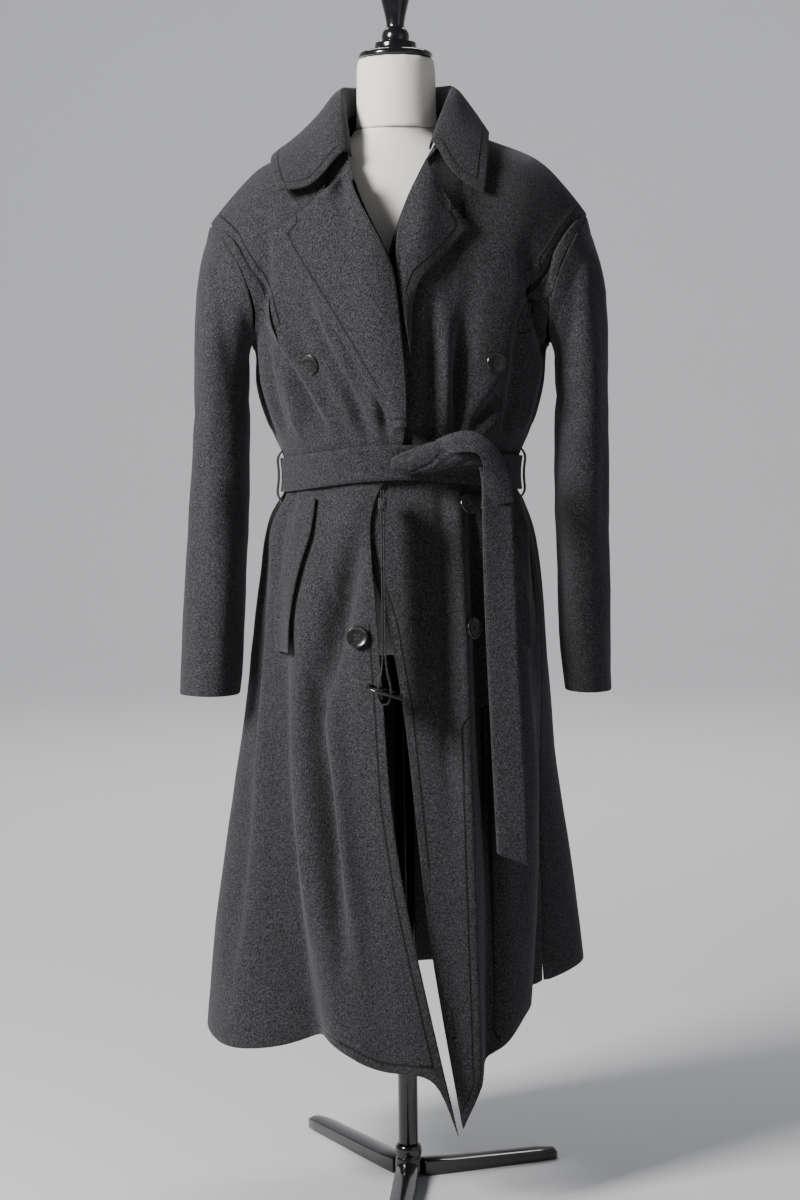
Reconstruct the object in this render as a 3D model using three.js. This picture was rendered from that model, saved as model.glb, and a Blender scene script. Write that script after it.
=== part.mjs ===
// Belted double-breasted wool coat on a limbless dress form with a three-legged stand.
// Millimetres, +Z up, -Y is the front, +X is the viewer's right. The origin is on the
// floor, on the axis of the stand's pole.
import * as THREE from 'three';

const WOOL = 3; // thickness of the coat cloth
const SEAM = 0.3; // gap between two sewn pieces
const PLY = 0.8; // gap between cloth that lies on cloth
const CHEST = 1100; // height where the bodice starts to fan out to the shoulders
const BELT = { wide: 46, thick: 4.5, side: 980, rise: 17 };
const POLE_R = 13.7;
const NECK_R = 54;
const NECK_TOP = 1541;

const group = new THREE.Group();
const V = (x, y, z) => new THREE.Vector3(x, y, z);
const clamp01 = (t) => Math.min(1, Math.max(0, t));
const ease = (a, b, t) => {
  const u = clamp01((t - a) / (b - a));
  return u * u * (3 - 2 * u);
};

// ---- tables -----------------------------------------------------------------

// Level sections of the coat without its folds: half-widths and half-depths from the axis.
const SECTIONS = [
  { z: 100, left: 298, right: 172, front: 214, back: 232 },
  { z: 240, left: 284, right: 178, front: 205, back: 222 },
  { z: 400, left: 261, right: 190, front: 192, back: 202 },
  { z: 600, left: 226, right: 198, front: 177, back: 180 },
  { z: 760, left: 203, right: 198, front: 163, back: 160 },
  { z: 860, left: 197, right: 192, front: 148, back: 145 },
  { z: 930, left: 176, right: 171, front: 133, back: 127 },
  { z: 956, left: 158, right: 160, front: 125, back: 119 },
  { z: 980, left: 155, right: 157, front: 123, back: 117 },
  { z: 1004, left: 158, right: 161, front: 125, back: 118 },
  { z: 1030, left: 170, right: 175, front: 131, back: 120 },
  { z: 1060, left: 183, right: 188, front: 136, back: 121 },
  { z: 1100, left: 194, right: 198, front: 139, back: 122 },
  { z: 1160, left: 198, right: 202, front: 140, back: 122 },
];

// Hanging folds of the skirt, as degrees round from the front and millimetres out, at three heights.
const FOLD_Z = { waist: 950, knee: 600, hem: 230 };
const FOLDS = [
  { name: 'left panel crest', at: [-52, -50, -21], out: [0, 14, 16], half: 8 },
  { name: 'left deep valley', at: [-64, -60, -37], out: [0, -34, -40], half: 9 },
  { name: 'left side crest', at: [-84, -80, -60], out: [0, 8, 16], half: 12 },
  { name: 'left seam valley', at: [-102, -100, -94], out: [0, -12, -24], half: 9 },
  { name: 'left back crest', at: [-114, -115, -114], out: [0, 12, 22], half: 11 },
  { name: 'left back valley', at: [-132, -133, -135], out: [-2, -18, -32], half: 9 },
  { name: 'back crest 1', at: [-149, -151, -154], out: [2, 14, 24], half: 10 },
  { name: 'back middle valley', at: [-169, -170, -173], out: [-2, -16, -27], half: 9 },
  { name: 'back crest 2', at: [172, 170, 167], out: [2, 14, 24], half: 10 },
  { name: 'right back valley', at: [153, 151, 149], out: [-2, -18, -30], half: 9 },
  { name: 'back crest 3', at: [134, 133, 133], out: [0, 20, 44], half: 13 },
  { name: 'right flare', at: [108, 107, 106], out: [0, 22, 92], half: 17 },
  { name: 'right side valley', at: [88, 87, 83], out: [0, -22, -46], half: 9 },
  { name: 'right panel crest', at: [67, 66, 61], out: [2, 5, 8], half: 8 },
  { name: 'right front valley', at: [39, 38, 38], out: [0, -18, -28], half: 6 },
  { name: 'right front crest', at: [29, 29, 28], out: [3, 10, 14], half: 6 },
];

// Creases that run aslant, seen square on from the front: start, end, half-width and height.
const CREASES = [
  { x0: -58, z0: 880, x1: -121, z1: 638, half: 13, out: -15 },
  { x0: -58, z0: 940, x1: -150, z1: 712, half: 16, out: 8 },
  { x0: -188, z0: 1350, x1: -179, z1: 1234, half: 13, out: 8 },
  { x0: -179, z0: 1234, x1: -145, z1: 1110, half: 13, out: 10 },
  { x0: -164, z0: 1270, x1: -126, z1: 1143, half: 12, out: -15 },
  { x0: -126, z0: 1143, x1: -67, z1: 1022, half: 11, out: -13 },
  { x0: -66, z0: 1130, x1: -42, z1: 1040, half: 9, out: -8 },
  { x0: 89, z0: 1250, x1: 87, z1: 1042, half: 9, out: -9 },
  { x0: 138, z0: 1110, x1: 98, z1: 1035, half: 13, out: 8 },
  { x0: 181, z0: 1340, x1: 198, z1: 1150, half: 11, out: -9 },
];

// Where the columns of the bodice end: neck, shoulder seam, then the front of the armhole down to
// the underarm. s is quarter turns from the front; n is the direction that the cloth faces there.
const RIM = [
  { s: 0.0, y: -94, xr: 0, zr: 1402, xl: 0, zl: 1402, n: [0, -0.8, 0.6], pull: 0.25 },
  { s: 0.14, y: -80, xr: 40, zr: 1416, xl: 40, zl: 1414, n: [0.1, -0.7, 0.7], pull: 0.25 },
  { s: 0.25, y: 0, xr: 76, zr: 1447, xl: 76, zl: 1443, n: [0.3, 0, 0.95], pull: 0.3 },
  { s: 0.36, y: 0, xr: 122, zr: 1431, xl: 122, zl: 1421, n: [0.3, 0, 0.95], pull: 0.3 },
  { s: 0.46, y: 0, xr: 174, zr: 1413, xl: 172, zl: 1399, n: [0.4, 0, 0.9], pull: 0.3 },
  { s: 0.52, y: 0, xr: 203, zr: 1397, xl: 197, zl: 1390, n: [0.6, 0, 0.8], pull: 0.28 },
  { s: 0.57, y: 0, xr: 231, zr: 1368, xl: 228, zl: 1356, n: [0.72, 0, 0.69], pull: 0.24 },
  { s: 0.62, y: 0, xr: 258, zr: 1329, xl: 255, zl: 1322, n: [0.9, 0, 0.44], pull: 0.2 },
  { s: 0.68, y: -46, xr: 242, zr: 1306, xl: 235, zl: 1300, n: [0.65, -0.75, 0.1], pull: 0.16 },
  { s: 0.74, y: -68, xr: 221, zr: 1268, xl: 212, zl: 1262, n: [0.35, -0.93, -0.05], pull: 0.14 },
  { s: 0.8, y: -73, xr: 208, zr: 1232, xl: 200, zl: 1230, n: [0.2, -0.96, -0.15], pull: 0.14 },
  { s: 0.87, y: -66, xr: 202, zr: 1196, xl: 194, zl: 1196, n: [0.1, -0.85, -0.5], pull: 0.14 },
  { s: 0.94, y: -40, xr: 203, zr: 1165, xl: 197, zl: 1165, n: [0, -0.45, -0.9], pull: 0.16 },
  { s: 1.0, y: 0, xr: 206, zr: 1152, xl: 200, zl: 1152, n: [0, 0, -1], pull: 0.16 },
];
const BACK_NECK = [
  { s: 1.86, y: 46, xr: 50, zr: 1463, xl: 50, zl: 1461, n: [0.15, 0.6, 0.8], pull: 0.25 },
  { s: 2.0, y: 66, xr: 0, zr: 1468, xl: 0, zl: 1468, n: [0, 0.75, 0.65], pull: 0.25 },
];

// Front edges: x of each front's free edge, or of the roll line of its lapel, by height.
const LEFT_EDGE = [
  { z: 120, x: 62 }, { z: 176, x: 56 }, { z: 282, x: 28 }, { z: 383, x: 7 }, { z: 491, x: -11 },
  { z: 590, x: -22 }, { z: 700, x: -25 }, { z: 808, x: -33 }, { z: 890, x: -42 }, { z: 950, x: -33 },
  { z: 985, x: -12 }, { z: 1020, x: 5 }, { z: 1100, x: 10 }, { z: 1220, x: -2 }, { z: 1264, x: -13 },
  { z: 1330, x: -42 }, { z: 1397, x: -64 }, { z: 1470, x: -74 },
];
const RIGHT_EDGE = [
  { z: 80, x: 79 }, { z: 120, x: 73 }, { z: 203, x: 60 }, { z: 306, x: 41 }, { z: 422, x: 26 },
  { z: 531, x: 15 }, { z: 638, x: 5 }, { z: 740, x: -7 }, { z: 800, x: -22 }, { z: 880, x: -50 },
  { z: 985, x: -56 }, { z: 1100, x: -50 }, { z: 1200, x: -34 }, { z: 1264, x: -13 },
  { z: 1316, x: 0 }, { z: 1376, x: 28 }, { z: 1470, x: 78 },
];

// Height of the hem by degrees round from the front. The two fronts end at their own corners.
const HEM_LEFT = [
  { at: -180, z: 256 }, { at: -150, z: 248 }, { at: -120, z: 246 }, { at: -95, z: 244 },
  { at: -76, z: 226 }, { at: -60, z: 220 }, { at: -46, z: 226 }, { at: -36, z: 243 },
  { at: -24, z: 236 }, { at: -12, z: 206 }, { at: 6, z: 198 }, { at: 16, z: 176 }, { at: 30, z: 170 },
];
const HEM_RIGHT = [
  { at: 0, z: 112 }, { at: 19, z: 113 }, { at: 24, z: 150 }, { at: 29, z: 178 }, { at: 36, z: 196 },
  { at: 45, z: 212 }, { at: 60, z: 256 }, { at: 84, z: 264 }, { at: 106, z: 294 }, { at: 130, z: 268 },
  { at: 150, z: 254 }, { at: 180, z: 256 },
];

// ---- reading the tables --------------------------------------------------------

// Smooth value of a column at a key, through the table's rows, level past its ends.
function read(rows, key, at, column) {
  const value = (row) => (typeof column === 'function' ? column(row) : row[column]);
  if (at <= rows[0][key]) return value(rows[0]);
  const last = rows.length - 1;
  if (at >= rows[last][key]) return value(rows[last]);
  let i = 0;
  while (rows[i + 1][key] < at) i += 1;
  const slope = (j) => {
    const a = rows[Math.max(0, j - 1)];
    const b = rows[Math.min(last, j + 1)];
    return (value(b) - value(a)) / (b[key] - a[key]);
  };
  const wide = rows[i + 1][key] - rows[i][key];
  const t = (at - rows[i][key]) / wide;
  const t2 = t * t;
  const t3 = t2 * t;
  return (2 * t3 - 3 * t2 + 1) * value(rows[i]) + (t3 - 2 * t2 + t) * wide * slope(i)
    + (3 * t2 - 2 * t3) * value(rows[i + 1]) + (t3 - t2) * wide * slope(i + 1);
}

const NECK_SIDE = 1.75;
const NECK_ROUND = [{ ...RIM[2], s: NECK_SIDE }, ...BACK_NECK];

// The rim point, the way the cloth faces and the way it runs on, for a signed s.
function rim(s) {
  const side = s < 0 ? 'l' : 'r';
  const at = Math.min(2, Math.abs(s));
  const flip = s < 0 ? -1 : 1;
  // The back's shoulder and armhole are the front's, mirrored.
  const value = (q, column, mirror = 1) => {
    if (q > NECK_SIDE) return read(NECK_ROUND, 's', q, column);
    return q > 1 ? mirror * read(RIM, 's', 2 - q, column) : read(RIM, 's', q, column);
  };
  const depth = (q) => (q <= 1 ? Math.min(0, value(q, 'y')) : Math.max(0, value(q, 'y', -1)));
  const point = (q) => V(flip * value(q, `x${side}`), depth(q), value(q, `z${side}`));
  const p = point(at);
  const along = point(Math.min(2, at + 0.005)).sub(point(Math.max(0, at - 0.005))).normalize();
  const n = V(flip * value(at, (row) => row.n[0]), value(at, (row) => row.n[1], -1), value(at, (row) => row.n[2]));
  n.addScaledVector(along, -n.dot(along)).normalize();
  const on = n.clone().cross(along).multiplyScalar(flip);
  const neck = Math.max(0, 1 - Math.min(at, 2 - at) / RIM[2].s);
  if (neck > 0) on.set(0, (at < 1 ? 1 : -1) * (1 - 0.65 * neck), 0.93 * neck).normalize();
  return { p, n, on, pull: value(at, 'pull') };
}

const degrees = (s) => THREE.MathUtils.euclideanModulo(s * 90 + 180, 360) - 180;

function hemHeight(s) {
  const at = degrees(s);
  return at >= 0 && s > 0.16 ? read(HEM_RIGHT, 'at', at, 'z') : read(HEM_LEFT, 'at', at, 'z');
}

function foldsAt(at, z) {
  const { waist, knee, hem } = FOLD_Z;
  const drop = (waist - z) / (waist - knee);
  const low = (knee - z) / (knee - hem);
  let out = 0;
  for (const fold of FOLDS) {
    const mix = (v) => (z > knee
      ? v[0] + (v[1] - v[0]) * Math.max(0, drop)
      : v[1] + (v[2] - v[1]) * Math.min(1.2, low));
    const away = THREE.MathUtils.euclideanModulo(at - mix(fold.at) + 180, 360) - 180;
    out += mix(fold.out) * Math.exp(-((away / fold.half) ** 2));
  }
  return out * (1 - ease(waist - 10, waist + 20, z));
}

// Point of the coat's outer face below the chest.
function lower(s, z) {
  const at = degrees(s);
  const turn = THREE.MathUtils.degToRad(at);
  const wide = read(SECTIONS, 'z', z, at < 0 ? 'left' : 'right');
  const deep = read(SECTIONS, 'z', z, Math.abs(at) < 90 ? 'front' : 'back');
  const sin = Math.sin(turn);
  const cos = Math.cos(turn);
  const r = 1 / Math.hypot(sin / wide, cos / deep) + foldsAt(at, z);
  return V(r * sin, -r * cos, z);
}

// Height at v below the chest: up to the hip it counts from the hem, and above it the rows are level.
const HIP = { v: 0.6, z: 900 };
const heightAt = (v, floor) => (v < HIP.v
  ? floor + ((HIP.z - floor) * v) / HIP.v
  : HIP.z + ((CHEST - HIP.z) * (v - HIP.v)) / (1 - HIP.v));

// Point of the coat's outer face: v runs 0 at the hem, 1 at the chest, 2 at neck, shoulder or armhole.
function bare(s, v) {
  if (v <= 1) return lower(s, heightAt(v, hemHeight(s)));
  const from = lower(s, CHEST);
  const { p, on, pull } = rim(s);
  const reach = from.distanceTo(p);
  const up = lower(s, CHEST + 5).sub(lower(s, CHEST - 5)).normalize();
  const b1 = from.clone().addScaledVector(up, reach * 0.36);
  const b2 = p.clone().addScaledVector(on, -reach * pull);
  return new THREE.CubicBezierCurve3(from, b1, b2, p).getPoint(v - 1);
}

function creasesAt(p) {
  let out = 0;
  if (p.y > -20) return 0;
  for (const c of CREASES) {
    const dx = c.x1 - c.x0;
    const dz = c.z1 - c.z0;
    const t = clamp01(((p.x - c.x0) * dx + (p.z - c.z0) * dz) / (dx * dx + dz * dz));
    const gap = Math.hypot(p.x - c.x0 - dx * t, p.z - c.z0 - dz * t);
    out += c.out * Math.sin(Math.PI * (0.15 + 0.7 * t)) * Math.exp(-((gap / c.half) ** 2));
  }
  return out * ease(20, 45, -p.y);
}

// Outer face with its creases, and the way it faces there. lift moves it out.
function cloth(s, v, lift = 0) {
  const step = 0.004;
  const p = bare(s, v);
  const ds = bare(s + step, v).sub(bare(s - step, v));
  const dv = bare(s, Math.min(2, v + step)).sub(bare(s, Math.max(0, v - step)));
  const n = ds.cross(dv).normalize();
  const seam = ease(Math.abs(s) < RIM[2].s ? 1.35 : 1.82, 2, v);
  n.lerp(rim(s).n, seam).normalize();
  const rimmed = 1 - ease(1.75, 1.97, v);
  p.addScaledVector(n, creasesAt(p) * rimmed + lift);
  return { p, n };
}

// ---- making solids ---------------------------------------------------------------

const paint = {
  wool: { color: 0x3b3c40, roughness: 0.95, metalness: 0 },
  linen: { color: 0xe9e4da, roughness: 0.85, metalness: 0 },
  lacquer: { color: 0x0b0b0c, roughness: 0.15, metalness: 0 },
  horn: { color: 0x2a2622, roughness: 0.25, metalness: 0 },
};

function add(name, geometry, colour) {
  const mesh = new THREE.Mesh(geometry, new THREE.MeshStandardMaterial(paint[colour]));
  mesh.name = name;
  group.add(mesh);
}

// Closed solid between two equal grids of points, outer and inner. round joins the last column to the first.
function between(outer, inner, round = false) {
  const rows = outer.length;
  const cols = outer[0].length;
  const points = [...outer.flat(), ...inner.flat()];
  const o = (i, j) => i * cols + (j % cols);
  const n = (i, j) => rows * cols + o(i, j);
  const index = [];
  const quad = (a, b, c, d) => index.push(a, b, c, a, c, d);
  const across = round ? cols : cols - 1;
  for (let j = 0; j < across; j += 1) {
    for (let i = 0; i < rows - 1; i += 1) {
      quad(o(i, j), o(i, j + 1), o(i + 1, j + 1), o(i + 1, j));
      quad(n(i, j), n(i + 1, j), n(i + 1, j + 1), n(i, j + 1));
    }
    quad(o(0, j), n(0, j), n(0, j + 1), o(0, j + 1));
    quad(o(rows - 1, j), o(rows - 1, j + 1), n(rows - 1, j + 1), n(rows - 1, j));
  }
  if (!round) {
    for (let i = 0; i < rows - 1; i += 1) {
      quad(o(i, 0), o(i + 1, 0), n(i + 1, 0), n(i, 0));
      quad(o(i, cols - 1), n(i, cols - 1), n(i + 1, cols - 1), o(i + 1, cols - 1));
    }
  }
  const geometry = new THREE.BufferGeometry();
  geometry.setAttribute('position', new THREE.Float32BufferAttribute(points.flatMap((p) => p.toArray()), 3));
  geometry.setIndex(index);
  return outward(geometry);
}

// Turns a closed geometry's faces out if they face in.
function outward(geometry) {
  const at = geometry.getAttribute('position');
  const index = geometry.getIndex();
  const corner = (i) => new THREE.Vector3().fromBufferAttribute(at, index.getX(i));
  let volume = 0;
  for (let i = 0; i < index.count; i += 3) {
    volume += corner(i).dot(corner(i + 1).cross(corner(i + 2)));
  }
  if (volume < 0) {
    const turned = Array.from(index.array);
    for (let i = 0; i < turned.length; i += 3) {
      [turned[i + 1], turned[i + 2]] = [turned[i + 2], turned[i + 1]];
    }
    geometry.setIndex(turned);
  }
  return geometry;
}

// Solid through rings of points, closed by a flat cap at each end.
function stack(rings) {
  const cols = rings[0].length;
  const middle = (ring) => ring.reduce((sum, p) => sum.add(p), V(0, 0, 0)).divideScalar(cols);
  const points = [...rings.flat(), middle(rings[0]), middle(rings[rings.length - 1])];
  const index = [];
  const last = (rings.length - 1) * cols;
  for (let j = 0; j < cols; j += 1) {
    const k = (j + 1) % cols;
    for (let i = 0; i < rings.length - 1; i += 1) {
      index.push(i * cols + j, i * cols + k, (i + 1) * cols + k);
      index.push(i * cols + j, (i + 1) * cols + k, (i + 1) * cols + j);
    }
    index.push(points.length - 2, k, j);
    index.push(points.length - 1, last + j, last + k);
  }
  const geometry = new THREE.BufferGeometry();
  geometry.setAttribute('position', new THREE.Float32BufferAttribute(points.flatMap((p) => p.toArray()), 3));
  geometry.setIndex(index);
  return outward(geometry);
}

const steps = (from, to, count) => Array.from({ length: count + 1 }, (_, i) => from + ((to - from) * i) / count);

// ---- back and fronts ----------------------------------------------------------------

const ROWS = [...steps(0, HIP.v, 6), 0.66, 0.712, 0.76, 0.808, 0.86, 0.93, ...steps(1, 2, 8)];
const SHOULDER = steps(0.25, 0.62, 6);
const ARMHOLE = [0.62, 0.65, 0.68, 0.74, 0.8, 0.87, 0.94, 1];

// A point on the seam row is drawn back by half the seam's gap, along the way the cloth runs.
function panelPoint(s, v, lift) {
  const { p, n } = cloth(s, v, lift);
  if (v === 2) p.addScaledVector(rim(s).on, -1.8 * SEAM);
  return { p, n };
}

function panel(columns, lift) {
  const outer = [];
  const inner = [];
  for (const v of ROWS) {
    const line = columns(v).map((s) => panelPoint(s, v, lift(s, v)));
    outer.push(line.map(({ p }) => p.clone()));
    inner.push(line.map(({ p, n }) => p.clone().addScaledVector(n, -WOOL)));
  }
  return between(outer, inner);
}

const sideGap = SEAM / 2 / 190 / (Math.PI / 2);

function backColumns() {
  const right = [1 + sideGap, ...ARMHOLE.slice(0, -1).reverse().map((s) => 2 - s),
    ...SHOULDER.slice(0, -1).reverse().map((s) => 2 - s), 1.86, 1.93];
  return [...right, 2, ...right.map((s) => -s).reverse()];
}

// s where a front's edge crosses row v: found by halving.
function edgeAt(edge, v) {
  let low = -0.9;
  let high = 0.9;
  for (let i = 0; i < 30; i += 1) {
    const s = (low + high) / 2;
    const p = bare(s, v);
    if (p.x < read(edge, 'z', p.z, 'x')) low = s;
    else high = s;
  }
  return (low + high) / 2;
}

// The left front laps over the right one: it lies a wall's thickness further out there.
const lapLift = (s, v) => {
  const over = ease(-0.62, -0.3, s) * (WOOL + PLY + 3);
  const flip = ease(0, 0.1, 0.58 - v) * ease(-0.3, 0.1, s) * 10;
  return over + flip;
};
const underLift = (s, v) => -ease(0, 0.1, 0.58 - v) * ease(-0.42, -0.06, -s) * 6;

function frontColumns(side, edge) {
  return (v) => {
    const start = edgeAt(edge, v);
    const near = steps(start, side * SHOULDER[0], 6).slice(0, -1);
    const far = [...SHOULDER, ...ARMHOLE.slice(1, -1), 1 - sideGap].map((s) => side * s);
    return [...near, ...far];
  };
}

const leftColumns = frontColumns(-1, LEFT_EDGE);
const rightColumns = frontColumns(1, RIGHT_EDGE);

add('back', panel(backColumns, () => 0), 'wool');
add('front_left', panel(leftColumns, lapLift), 'wool');
add('front_right', panel(rightColumns, underLift), 'wool');

// ---- sleeves -------------------------------------------------------------------------

// Level sections of each sleeve: x of its outer and inner sides, half-depth, and y of its middle.
const SLEEVE = {
  '-1': [
    { z: 1118, out: 281, in: 205, deep: 66, y: -2 }, { z: 1030, out: 285, in: 206, deep: 64, y: -4 },
    { z: 940, out: 288, in: 208, deep: 61, y: -8 }, { z: 850, out: 293, in: 212, deep: 58, y: -12 },
    { z: 765, out: 298, in: 217, deep: 55, y: -15 }, { z: 683, out: 303, in: 223, deep: 52, y: -17 },
  ],
  1: [
    { z: 1118, out: 286, in: 212, deep: 66, y: -2 }, { z: 1030, out: 286, in: 211, deep: 64, y: -4 },
    { z: 940, out: 286, in: 210, deep: 61, y: -8 }, { z: 850, out: 285, in: 211, deep: 58, y: -12 },
    { z: 765, out: 284, in: 215, deep: 55, y: -15 }, { z: 683, out: 284, in: 223, deep: 51, y: -17 },
  ],
};

const armholeRound = [...ARMHOLE, ...ARMHOLE.slice(1, -1).reverse().map((s) => 2 - s)];

// Angle round a sleeve's section for each armhole point: 0 outside, a quarter turn at the front.
const sleeveTurn = (s) => (s <= 1
  ? Math.PI * ease(0.52, 1.1, s) * 1.02 - 0.06
  : -(Math.PI * ease(0.52, 1.1, 2 - s) * 1.02 - 0.06));

function sleeveSection(side, z, turn) {
  const rows = [...SLEEVE[side]].reverse();
  const out = read(rows, 'z', z, 'out');
  const inn = read(rows, 'z', z, 'in');
  const deep = read(rows, 'z', z, 'deep');
  const mid = (out + inn) / 2;
  return V(side * (mid + ((out - inn) / 2) * Math.cos(turn)), read(rows, 'z', z, 'y') - deep * Math.sin(turn), z);
}

function sleevePoint(side, s, v) {
  const top = 1118;
  const turn = s === 1 ? Math.PI : sleeveTurn(s);
  if (v >= 1) return sleeveSection(side, top + (683 - top) * (v - 1), turn);
  const { p, on } = rim(side * s);
  const to = sleeveSection(side, top, turn);
  const reach = p.distanceTo(to);
  const b1 = p.clone().addScaledVector(on, reach * 0.3);
  const b2 = to.clone().add(V(0, 0, reach * 0.4));
  return new THREE.CubicBezierCurve3(p, b1, b2, to).getPoint(v);
}

function sleeve(side) {
  const outer = [];
  const inner = [];
  for (const v of [0, 0.12, 0.28, 0.46, 0.66, 0.84, 1, 1.25, 1.5, 1.75, 2]) {
    const line = armholeRound.map((s, j) => {
      const prev = armholeRound[(j + armholeRound.length - 1) % armholeRound.length];
      const next = armholeRound[(j + 1) % armholeRound.length];
      const p = sleevePoint(side, s, v);
      const round = sleevePoint(side, next, v).sub(sleevePoint(side, prev, v));
      const down = sleevePoint(side, s, Math.min(2, v + 0.02)).sub(sleevePoint(side, s, Math.max(0, v - 0.02)));
      const n = down.cross(round).normalize().multiplyScalar(side);
      const { n: seamFace, on } = rim(side * s);
      n.lerp(seamFace, 1 - ease(0, 0.3, v)).normalize();
      if (v === 0) p.addScaledVector(on, SEAM / 2);
      return { p, n };
    });
    outer.push(line.map(({ p }) => p));
    inner.push(line.map(({ p, n }) => p.clone().addScaledVector(n, -WOOL)));
  }
  return between(outer, inner, true);
}

add('sleeve_left', sleeve(-1), 'wool');
add('sleeve_right', sleeve(1), 'wool');


// ---- laying pieces on the fronts -----------------------------------------------------------

// Point on a front at x and z, moved out; found by stepping towards it along the cloth.
function onFront(side, x, z, out) {
  let s = THREE.MathUtils.clamp(x / 260, -0.7, 0.7);
  let v = THREE.MathUtils.clamp(z > CHEST ? 1 + (z - CHEST) / 340 : 0.3 + z / 1600, 0.1, 1.8);
  const lift = side < 0 ? lapLift : underLift;
  for (let i = 0; i < 60; i += 1) {
    const p = bare(s, v);
    const step = 0.01;
    const ps = bare(s + step, v).sub(p).divideScalar(step);
    const pv = bare(s, v + (v > 1.9 ? -step : step)).sub(p).divideScalar(v > 1.9 ? -step : step);
    const det = ps.x * pv.z - pv.x * ps.z;
    const dx = x - p.x;
    const dz = z - p.z;
    s += THREE.MathUtils.clamp((dx * pv.z - pv.x * dz) / det, -0.08, 0.08);
    v = THREE.MathUtils.clamp(v + THREE.MathUtils.clamp((ps.x * dz - dx * ps.z) / det, -0.15, 0.15), 0.01, 1.99);
  }
  const { p, n } = cloth(s, v, lift(s, v));
  n.lerp(V(side * 0.15, -0.96, 0.2), ease(1220, 1300, z)).normalize();
  return { p: p.addScaledVector(n, out), n, s, v };
}

// Wall of one thickness from rows of {p, n}.
function laid(rows, thick) {
  const outer = rows.map((row) => row.map(({ p, n }) => p.clone().addScaledVector(n, thick)));
  const inner = rows.map((row) => row.map(({ p }) => p.clone()));
  return between(outer, inner);
}

// ---- lapels ------------------------------------------------------------------------------------

// Each lapel from its gorge down: height on the roll line, then its outer edge across the front.
const LAPELS = {
  '-1': [
    { roll: 1374, x: -119, z: 1327 }, { roll: 1358, x: -157, z: 1303 }, { roll: 1338, x: -147, z: 1281 },
    { roll: 1300, x: -129, z: 1251 }, { roll: 1250, x: -108, z: 1220 }, { roll: 1195, x: -83, z: 1178 },
    { roll: 1135, x: -55, z: 1129 }, { roll: 1085, x: -29, z: 1082 }, { roll: 1048, x: -7, z: 1046 },
  ],
  1: [
    { roll: 1390, x: 62, z: 1328 }, { roll: 1372, x: 94, z: 1304 }, { roll: 1340, x: 68, z: 1276 },
    { roll: 1305, x: 46, z: 1256 }, { roll: 1270, x: 29, z: 1238 }, { roll: 1225, x: 20, z: 1212 },
    { roll: 1178, x: 17, z: 1172 }, { roll: 1136, x: 15, z: 1134 },
  ],
};

const LAPEL_RISE = 5.5;

function lapel(side) {
  const edge = side < 0 ? LEFT_EDGE : RIGHT_EDGE;
  const rows = LAPELS[side].map((row) => steps(0, 1, 6).map((t) => {
    let from = read(edge, 'z', row.roll, 'x') + side * 1.5;
    if (side > 0) from = Math.max(from, read(LEFT_EDGE, 'z', row.roll, 'x') + 7);
    const x = from + (row.x - from) * t;
    const z = row.roll + (row.z - row.roll) * t;
    return onFront(side, x, z, PLY + LAPEL_RISE + 9 * (1 - t) + 4 * Math.sin(Math.PI * t));
  }));
  return laid(rows, WOOL);
}

add('lapel_left', lapel(-1), 'wool');
add('lapel_right', lapel(1), 'wool');

// ---- collar ---------------------------------------------------------------------------------------

// Sections of the collar from the middle of the back to its front end: foot of the stand, fold, fall, edge.
const COLLAR = {
  back: [
    { foot: [0, 61, 1474], fold: [0, 80, 1508], fall: [0, 104, 1482], edge: [0, 116, 1440] },
    { foot: [30, 52, 1473], fold: [40, 71, 1508], fall: [58, 92, 1482], edge: [66, 104, 1438] },
    { foot: [58, 26, 1468], fold: [66, 42, 1506], fall: [90, 58, 1480], edge: [108, 64, 1440] },
  ],
  1: [
    { foot: [69, 0, 1459], fold: [76, 4, 1502], fall: [99, 4, 1477], edge: [123, 4, 1441] },
    { foot: [66, -24, 1452], fold: [72, -28, 1488], fall: [98, -34, 1456], edge: [122, -38, 1428] },
    { foot: [57, -48, 1442], fold: [62, -56, 1460], fall: [92, -72, 1424], edge: [120, -76, 1396] },
    { foot: [45, -74, 1410], fold: [48, -82, 1420], fall: [74, -100, 1376], edge: [115, -98, 1350] },
  ],
  '-1': [
    { foot: [69, 0, 1459], fold: [75, 4, 1500], fall: [108, 4, 1462], edge: [160, 4, 1418] },
    { foot: [68, -26, 1450], fold: [76, -30, 1482], fall: [112, -36, 1440], edge: [168, -34, 1404] },
    { foot: [66, -50, 1436], fold: [73, -58, 1452], fall: [112, -76, 1404], edge: [166, -68, 1382] },
    { foot: [62, -80, 1400], fold: [70, -88, 1408], fall: [112, -106, 1362], edge: [158, -100, 1356] },
  ],
};

function collar() {
  const flip = (row, side) => Object.values(row).map(([x, y, z]) => V(side * x, y, z));
  const right = [...COLLAR.back, ...COLLAR[1]].map((row) => flip(row, 1));
  const left = [...COLLAR.back.slice(1), ...COLLAR[-1]].map((row) => flip(row, -1)).reverse();
  const sections = [...left, ...right];
  const along = [0, 1, 2, 3].map((k) => new THREE.CatmullRomCurve3(sections.map((row) => row[k])));
  const grid = steps(0, 1, 26).map((t) => {
    const across = new THREE.CatmullRomCurve3(along.map((curve) => curve.getPoint(t)));
    return steps(0, 1, 9).map((u) => across.getPoint(u));
  });
  const face = (i, j) => {
    const a = grid[Math.min(grid.length - 1, i + 1)][j].clone().sub(grid[Math.max(0, i - 1)][j]);
    const b = grid[i][Math.min(9, j + 1)].clone().sub(grid[i][Math.max(0, j - 1)]);
    return a.cross(b).normalize();
  };
  return laid(grid.map((row, i) => row.map((p, j) => ({ p, n: face(i, j) }))), WOOL);
}
add('collar', collar(), 'wool');

// ---- belt ------------------------------------------------------------------------------------------

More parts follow.
